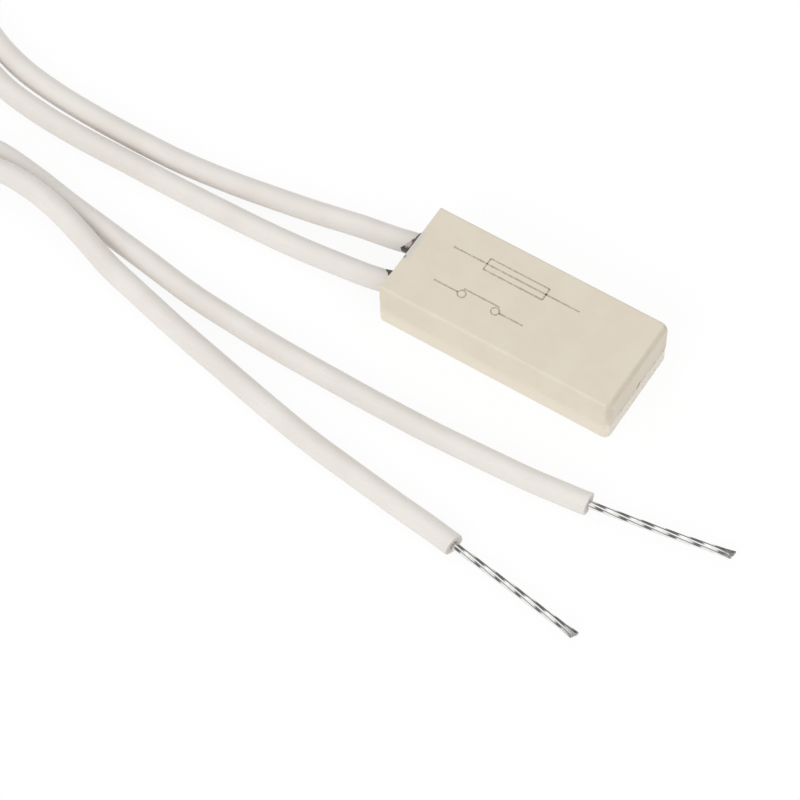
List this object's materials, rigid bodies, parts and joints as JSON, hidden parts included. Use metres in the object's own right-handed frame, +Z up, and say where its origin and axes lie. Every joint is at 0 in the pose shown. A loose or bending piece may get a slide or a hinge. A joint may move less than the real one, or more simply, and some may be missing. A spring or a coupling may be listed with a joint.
{
  "type": "thermal fuse",
  "caption": "Flat moulded thermal cut-out with a bimetal contact inside, sealed with resin at one end, and flying leads with stripped ends.",
  "frame": {"origin": "middle of the case's underside", "axes": "+X along the case from the lead end to the closed end, +Z up through its thickness"},
  "size_m": [0.0901, 0.0255, 0.0045],
  "materials": {
    "case_plastic": "matte cream moulding",
    "seal_resin": "dark potting resin",
    "carrier_plastic": "brown moulding compound",
    "terminal_brass": "stamped strip",
    "bimetal": "rolled strip",
    "contact_silver": "silver rivet",
    "lead_insulation": "satin off-white extrusion",
    "tinned_wire": "tinned copper strands"
  },
  "bodies": {
    "housing": {"case": "case_plastic", "end_seal": "seal_resin", "contact_carrier": "carrier_plastic", "fixed_terminal": "terminal_brass", "arm_terminal": "terminal_brass", "fixed_contact": "contact_silver", "lead_1_insulation": "lead_insulation", "lead_1_conductor": "tinned_wire", "lead_2_insulation": "lead_insulation", "lead_2_conductor": "tinned_wire"},
    "contact_arm": {"bimetal_leaf": "bimetal", "moving_contact": "contact_silver"}
  },
  "joints": [
    {"name": "arm_flex", "type": "hinge", "parent": "housing", "child": "contact_arm", "pos_m": [-0.0003, 0, 0.00225], "axis": [0, -1, 0], "range_deg": [0, 4]}
  ]
}
